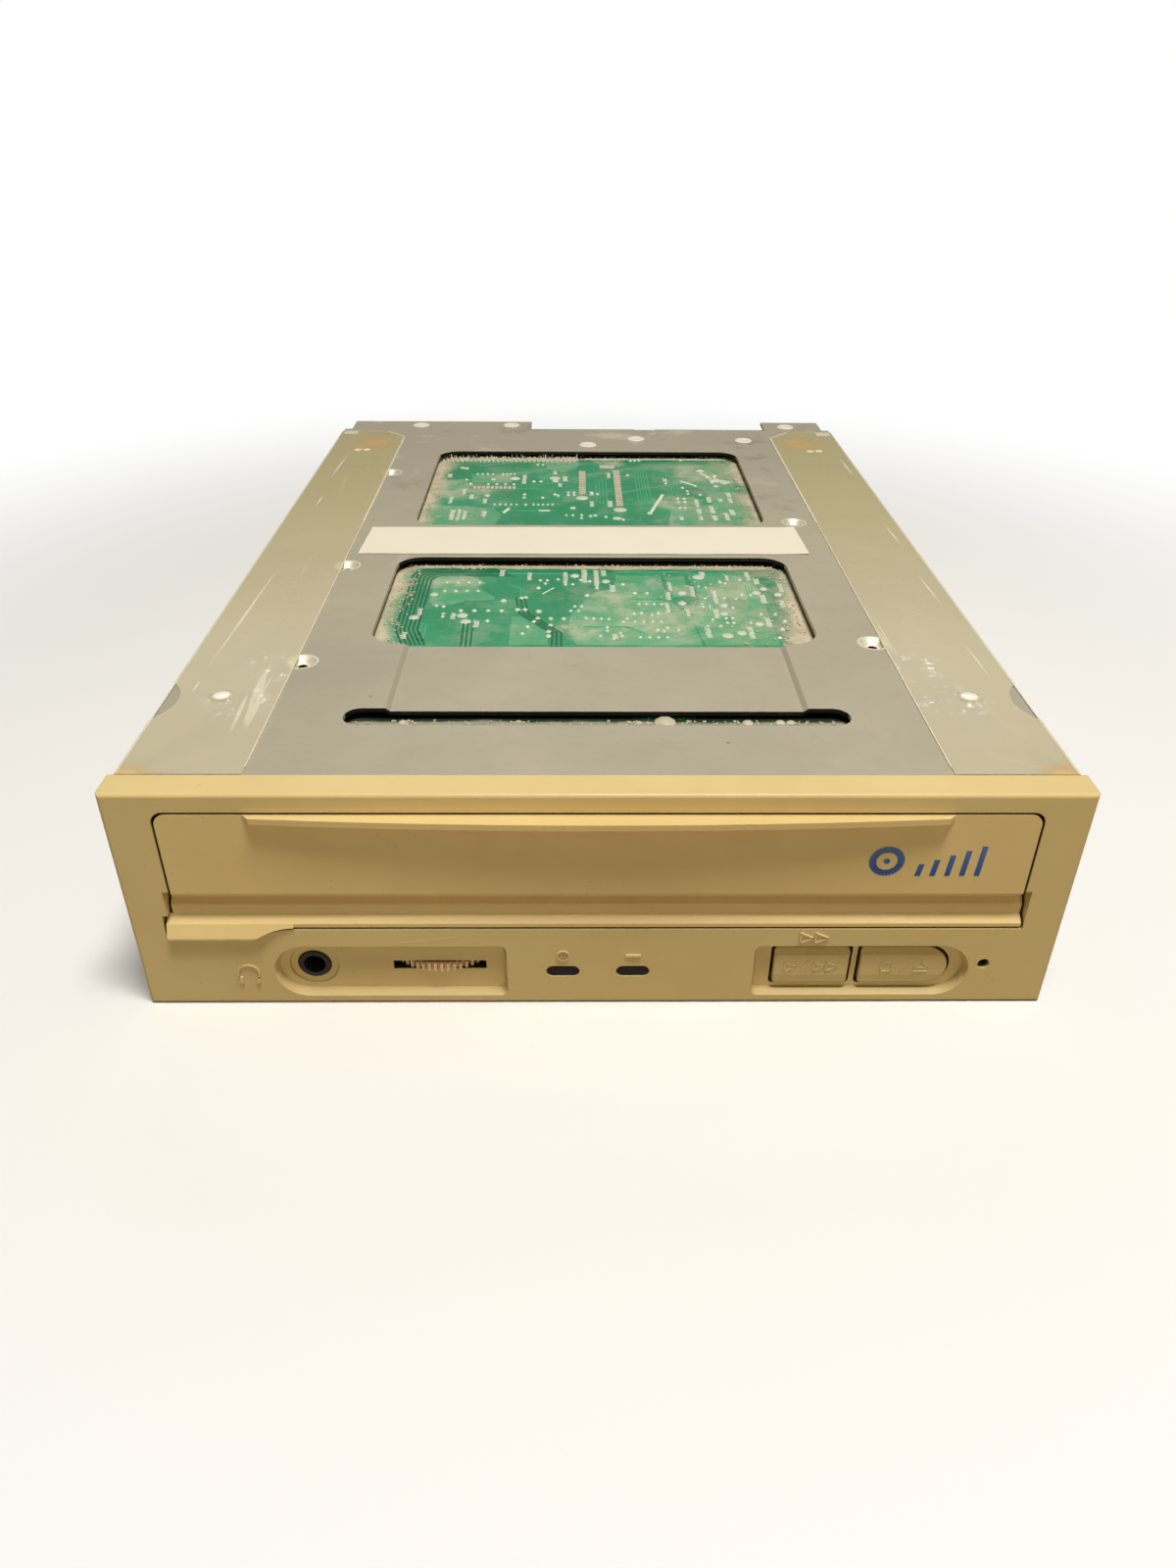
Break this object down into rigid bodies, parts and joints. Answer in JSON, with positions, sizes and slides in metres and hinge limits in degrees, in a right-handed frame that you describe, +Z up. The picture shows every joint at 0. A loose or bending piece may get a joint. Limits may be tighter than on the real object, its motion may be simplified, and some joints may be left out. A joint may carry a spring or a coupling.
{
  "type": "cd-rom drive",
  "caption": "Half-height tray-loading CD-ROM drive with front controls, a sliding disc tray, a windowed steel cover and a working optical mechanism inside.",
  "frame": {"origin": "middle of the bounding box at the underside", "axes": "+X to the drive's right seen from the front, +Y towards the rear connectors, +Z up"},
  "size_m": [0.148, 0.2148, 0.0416],
  "materials": {
    "bezel_plastic": "moulded, yellowed with age",
    "tray_front_plastic": "moulded, yellowed with age",
    "wheel_plastic": "ribbed, yellowed",
    "tray_plastic": "fine grain",
    "frame_plastic": "moulded",
    "lift_plastic": "moulded",
    "gear_plastic": "acetal, satin",
    "cover_steel": "galvanised, dull and stained",
    "pan_steel": "galvanised",
    "film_plastic": "clear film, yellowed",
    "label_paper": "plain paper, slightly soiled",
    "board_green": "solder mask",
    "chip_black": "moulded black",
    "capacitor_can": "satin can",
    "connector_black": "glass-filled",
    "connector_white": "nylon",
    "pin_metal": "plated",
    "lamp_lens": "smoked",
    "ribbon": "film",
    "rubber_black": "soft",
    "motor_steel": "plated can",
    "rod_steel": "polished",
    "sled_cast": "filled plastic",
    "lens_black": "fine",
    "lens_glass": "coated",
    "clamp_plastic": "acetal",
    "magnet": "ferrite",
    "screw_steel": "zinc plated"
  },
  "bodies": {
    "root": {"bezel": "bezel_plastic", "loader_frame": "frame_plastic", "top_cover": "cover_steel", "chassis_pan": "pan_steel", "clamp_bridge": "pan_steel", "left_film": "film_plastic", "right_film": "film_plastic", "cover_label": "label_paper", "main_board": "board_green", "control_board": "board_green", "board_chips": "chip_black", "headphone_jack": "chip_black", "tact_switches": "chip_black", "volume_pot": "chip_black", "board_capacitors": "capacitor_can", "scsi_connector": "connector_black", "jumper_block": "connector_black", "jumper_caps": "connector_black", "power_connector": "connector_white", "audio_connector": "connector_white", "scsi_pins": "pin_metal", "power_pins": "pin_metal", "indicator_leds": "lamp_lens", "front_ribbon": "ribbon", "loading_belt": "rubber_black", "loading_motor": "motor_steel", "bridge_screws": "screw_steel", "board_screws": "screw_steel", "frame_screws": "screw_steel"},
    "tray": {"tray": "tray_plastic", "tray_front": "tray_front_plastic"},
    "drive_gear": {"drive_gear": "gear_plastic"},
    "pulley_gear": {"pulley_gear": "gear_plastic"},
    "motor_pulley": {"motor_pulley": "gear_plastic"},
    "cam_slider": {"cam_slider": "lift_plastic"},
    "lift": {"lift_frame": "lift_plastic", "suspension_bushings": "rubber_black", "suspension_screws": "screw_steel", "traverse_plate": "pan_steel", "spindle_motor": "motor_steel", "rod_brackets": "sled_cast", "guide_rods": "rod_steel", "sled_motor": "motor_steel"},
    "turntable": {"turntable": "clamp_plastic", "turntable_pad": "rubber_black"},
    "sled": {"pickup_sled": "sled_cast", "sled_rack": "gear_plastic"},
    "sled_gear": {"sled_gear": "gear_plastic"},
    "sled_pinion": {"sled_pinion": "gear_plastic"},
    "lens": {"lens_holder": "lens_black", "objective_lens": "lens_glass"},
    "clamp": {"clamp_puck": "clamp_plastic", "clamp_magnet": "magnet"},
    "volume_wheel": {"volume_wheel": "wheel_plastic"},
    "play_button": {"play_button": "bezel_plastic"},
    "eject_button": {"eject_button": "bezel_plastic"},
    "eject_lever": {"eject_lever": "lift_plastic"}
  },
  "joints": [
    {"name": "tray_slide", "type": "slide", "parent": "root", "child": "tray", "axis": [0, -1, 0], "range_m": [0, 0.138]},
    {"name": "drive_gear_turn", "type": "hinge", "parent": "root", "child": "drive_gear", "pos_m": [-0.0485, -0.0736, 0.013], "axis": [0, 0, 1], "continuous": true},
    {"name": "pulley_gear_turn", "type": "hinge", "parent": "root", "child": "pulley_gear", "pos_m": [-0.0295, -0.0736, 0.013], "axis": [0, 0, 1], "continuous": true},
    {"name": "motor_pulley_turn", "type": "hinge", "parent": "root", "child": "motor_pulley", "pos_m": [-0.0025, -0.0736, 0.013], "axis": [0, 0, 1], "continuous": true},
    {"name": "cam_slide", "type": "slide", "parent": "root", "child": "cam_slider", "axis": [1, 0, 0], "range_m": [0, 0.012]},
    {"name": "lift_tilt", "type": "hinge", "parent": "root", "child": "lift", "pos_m": [0, 0.0554, 0.008], "axis": [1, 0, 0], "range_deg": [0, 2.2]},
    {"name": "turntable_spin", "type": "hinge", "parent": "lift", "child": "turntable", "pos_m": [0, -0.0296, 0.0189], "axis": [0, 0, 1], "continuous": true},
    {"name": "sled_slide", "type": "slide", "parent": "lift", "child": "sled", "axis": [0, 1, 0], "range_m": [0, 0.035]},
    {"name": "sled_gear_turn", "type": "hinge", "parent": "lift", "child": "sled_gear", "pos_m": [0.0312, 0.0224, 0.014], "axis": [0, 0, 1], "continuous": true},
    {"name": "sled_pinion_turn", "type": "hinge", "parent": "lift", "child": "sled_pinion", "pos_m": [0.0408, 0.0224, 0.013], "axis": [0, 0, 1], "continuous": true},
    {"name": "lens_focus", "type": "slide", "parent": "sled", "child": "lens", "axis": [0, 0, 1], "range_m": [-0.0004, 0.0005], "stiffness_N_per_m": 60},
    {"name": "clamp_spin", "type": "hinge", "parent": "root", "child": "clamp", "pos_m": [0, -0.0296, 0.027], "axis": [0, 0, 1], "continuous": true},
    {"name": "volume_turn", "type": "hinge", "parent": "root", "child": "volume_wheel", "pos_m": [-0.0259, -0.0939, 0.0069], "axis": [0, 0, 1], "range_deg": [-140, 140]},
    {"name": "play_press", "type": "slide", "parent": "root", "child": "play_button", "axis": [0, 1, 0], "range_m": [0, 0.0005], "stiffness_N_per_m": 800},
    {"name": "eject_press", "type": "slide", "parent": "root", "child": "eject_button", "axis": [0, 1, 0], "range_m": [0, 0.0005], "stiffness_N_per_m": 800},
    {"name": "eject_lever_push", "type": "slide", "parent": "root", "child": "eject_lever", "axis": [0, 1, 0], "range_m": [0, 0.003], "stiffness_N_per_m": 100}
  ],
  "couplings": [
    {"joint": "drive_gear_turn", "follows": "tray_slide", "rad_per_m": 125},
    {"joint": "pulley_gear_turn", "follows": "tray_slide", "rad_per_m": -350},
    {"joint": "motor_pulley_turn", "follows": "tray_slide", "rad_per_m": -927.78},
    {"joint": "cam_slide", "follows": "tray_slide", "ratio": 0.086956},
    {"joint": "lift_tilt", "follows": "tray_slide", "rad_per_m": 0.27824},
    {"joint": "sled_gear_turn", "follows": "sled_slide", "rad_per_m": -312.5},
    {"joint": "sled_pinion_turn", "follows": "sled_slide", "rad_per_m": 625}
  ]
}
